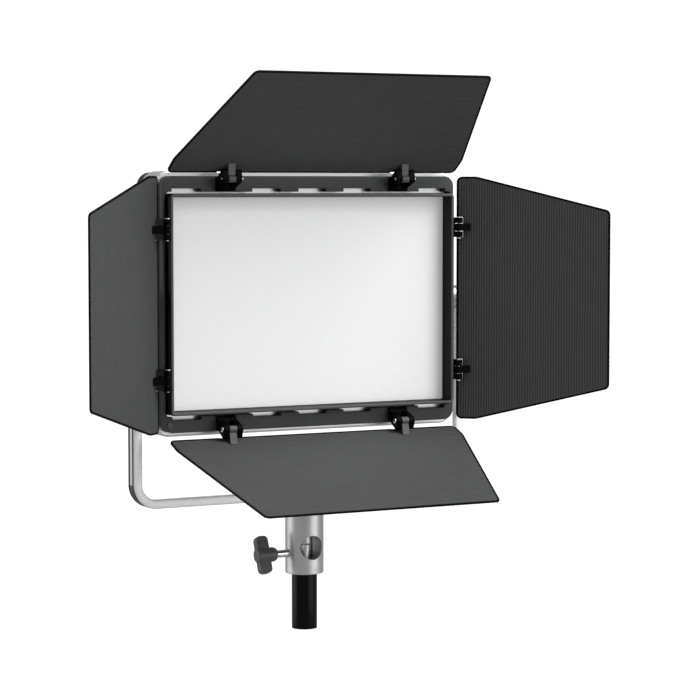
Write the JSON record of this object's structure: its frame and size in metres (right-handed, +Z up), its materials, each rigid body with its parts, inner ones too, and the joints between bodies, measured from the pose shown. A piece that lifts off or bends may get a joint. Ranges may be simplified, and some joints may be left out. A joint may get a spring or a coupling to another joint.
{
  "type": "led panel light",
  "caption": "Rectangular LED panel light in a U-shaped yoke, with barn-door leaves on all sides, a stand receiver with a wing clamp, and the top of its stand.",
  "frame": {"origin": "centre of the stand tube's cut bottom end", "axes": "+Z up along the stand, the light faces -Y, +X is on the viewer's right when facing the light"},
  "size_m": [0.5638, 0.2258, 0.5534],
  "materials": {
    "stand_paint": "semi-gloss black paint on steel tube",
    "spigot_steel": "bare machined steel",
    "receiver_metal": "satin, brushed round its axis",
    "yoke_metal": "satin silver extruded bar with two grooves on its outer face",
    "housing_metal": "satin silver extrusion",
    "fixing_steel": "zinc-plated",
    "spacer_metal": "bare turned aluminium",
    "pad_brass": "machined",
    "wing_plastic": "moulded, fine matt grain",
    "grip_plastic": "moulded, matt black",
    "frame_paint": "fine matt dark grey powder coat",
    "leaf_sheet": "fine matt dark grey powder coat, ribbed sheet",
    "hinge_plastic": "satin black",
    "bezel_plastic": "dark grey, satin",
    "diffuser_opal": "opal diffusing sheet",
    "reflector_white": "white",
    "cover_plastic": "fine matt grain, black",
    "sink_metal": "bare",
    "circuit": "green solder mask",
    "display": "smoked, glossy"
  },
  "bodies": {
    "stand": {"stand_tube": "stand_paint", "stand_spigot": "spigot_steel"},
    "yoke": {"receiver": "receiver_metal", "yoke": "yoke_metal", "yoke_bolt": "fixing_steel"},
    "clamp_slide": {"clamp_pad": "pad_brass"},
    "clamp_knob": {"clamp_screw": "fixing_steel", "clamp_wing": "wing_plastic"},
    "tilt_slide_left": {"tilt_washer_left": "fixing_steel"},
    "tilt_knob_left": {"tilt_knob_left": "grip_plastic", "tilt_bolt_left": "fixing_steel"},
    "tilt_slide_right": {"tilt_washer_right": "fixing_steel"},
    "tilt_knob_right": {"tilt_knob_right": "grip_plastic", "tilt_bolt_right": "fixing_steel"},
    "head": {"housing_frame": "housing_metal", "rear_cover": "cover_plastic", "heat_sink": "sink_metal", "led_board": "circuit", "driver_board": "circuit", "reflector_frame": "reflector_white", "diffuser_panel": "diffuser_opal", "front_bezel": "bezel_plastic", "barn_door_frame": "frame_paint", "frame_lock_screw": "fixing_steel", "display_window": "display", "dc_inlet": "grip_plastic", "pivot_disc_left": "spacer_metal", "pivot_disc_right": "spacer_metal", "hinge_bracket_top_left": "hinge_plastic", "hinge_pin_top_left": "fixing_steel", "hinge_bracket_top_right": "hinge_plastic", "hinge_pin_top_right": "fixing_steel", "hinge_bracket_bottom_left": "hinge_plastic", "hinge_pin_bottom_left": "fixing_steel", "hinge_bracket_bottom_right": "hinge_plastic", "hinge_pin_bottom_right": "fixing_steel", "hinge_bracket_left_upper": "hinge_plastic", "hinge_pin_left_upper": "fixing_steel", "hinge_bracket_left_lower": "hinge_plastic", "hinge_pin_left_lower": "fixing_steel", "hinge_bracket_right_upper": "hinge_plastic", "hinge_pin_right_upper": "fixing_steel", "hinge_bracket_right_lower": "hinge_plastic", "hinge_pin_right_lower": "fixing_steel"},
    "leaf_top": {"leaf_top": "leaf_sheet", "leaf_tab_top_left": "leaf_sheet", "leaf_tab_top_right": "leaf_sheet"},
    "leaf_bottom": {"leaf_bottom": "leaf_sheet", "leaf_tab_bottom_left": "leaf_sheet", "leaf_tab_bottom_right": "leaf_sheet"},
    "leaf_left": {"leaf_left": "leaf_sheet", "leaf_tab_left_upper": "leaf_sheet", "leaf_tab_left_lower": "leaf_sheet"},
    "leaf_right": {"leaf_right": "leaf_sheet", "leaf_tab_right_upper": "leaf_sheet", "leaf_tab_right_lower": "leaf_sheet"},
    "power_rocker": {"power_rocker": "grip_plastic"},
    "brightness_knob": {"brightness_knob": "grip_plastic"},
    "colour_knob": {"colour_knob": "grip_plastic"},
    "mode_button": {"mode_button": "wing_plastic"}
  },
  "joints": [
    {"name": "pan", "type": "hinge", "parent": "stand", "child": "yoke", "pos_m": [0, 0, 0.0564], "axis": [0, 0, 1], "continuous": true},
    {"name": "clamp_travel", "type": "slide", "parent": "yoke", "child": "clamp_slide", "axis": [-1, 0, 0], "range_m": [0, 0.00375]},
    {"name": "clamp_turn", "type": "hinge", "parent": "clamp_slide", "child": "clamp_knob", "pos_m": [-0.0195, 0, 0.0772], "axis": [-1, 0, 0], "range_deg": [0, 1080]},
    {"name": "tilt", "type": "hinge", "parent": "yoke", "child": "head", "pos_m": [0, 0.0073, 0.3318], "axis": [-1, 0, 0], "range_deg": [-8, 90]},
    {"name": "tilt_travel_left", "type": "slide", "parent": "yoke", "child": "tilt_slide_left", "axis": [-1, 0, 0], "range_m": [0, 0.0025]},
    {"name": "tilt_lock_left", "type": "hinge", "parent": "tilt_slide_left", "child": "tilt_knob_left", "pos_m": [-0.1855, 0.0073, 0.3318], "axis": [-1, 0, 0], "range_deg": [0, 720]},
    {"name": "tilt_travel_right", "type": "slide", "parent": "yoke", "child": "tilt_slide_right", "axis": [1, 0, 0], "range_m": [0, 0.0025]},
    {"name": "tilt_lock_right", "type": "hinge", "parent": "tilt_slide_right", "child": "tilt_knob_right", "pos_m": [0.1855, 0.0073, 0.3318], "axis": [1, 0, 0], "range_deg": [0, 720]},
    {"name": "leaf_top", "type": "hinge", "parent": "head", "child": "leaf_top", "pos_m": [0, -0.03485, 0.454], "axis": [-1, 0, 0], "range_deg": [-121.5, 23]},
    {"name": "leaf_bottom", "type": "hinge", "parent": "head", "child": "leaf_bottom", "pos_m": [0, -0.03485, 0.2096], "axis": [1, 0, 0], "range_deg": [-111.7, 36]},
    {"name": "leaf_left", "type": "hinge", "parent": "head", "child": "leaf_left", "pos_m": [-0.162, -0.0302, 0.3318], "axis": [0, 0, -1], "range_deg": [-135.8, 16]},
    {"name": "leaf_right", "type": "hinge", "parent": "head", "child": "leaf_right", "pos_m": [0.162, -0.0302, 0.3318], "axis": [0, 0, 1], "range_deg": [-135.8, 16]},
    {"name": "brightness_turn", "type": "hinge", "parent": "head", "child": "brightness_knob", "pos_m": [0.052, 0.0385, 0.2698], "axis": [0, 1, 0], "range_deg": [-150, 150]},
    {"name": "colour_turn", "type": "hinge", "parent": "head", "child": "colour_knob", "pos_m": [-0.052, 0.0385, 0.2698], "axis": [0, 1, 0], "range_deg": [-150, 150]},
    {"name": "mode_press", "type": "slide", "parent": "head", "child": "mode_button", "axis": [0, -1, 0], "range_m": [0, 0.0012], "stiffness_N_per_m": 400},
    {"name": "power_switch", "type": "hinge", "parent": "head", "child": "power_rocker", "pos_m": [0.1, 0.037, 0.2698], "axis": [-1, 0, 0], "range_deg": [0, 16]}
  ],
  "couplings": [
    {"joint": "clamp_turn", "follows": "clamp_travel", "rad_per_m": 5026.5},
    {"joint": "tilt_lock_left", "follows": "tilt_travel_left", "rad_per_m": 5026.5},
    {"joint": "tilt_lock_right", "follows": "tilt_travel_right", "rad_per_m": 5026.5}
  ]
}
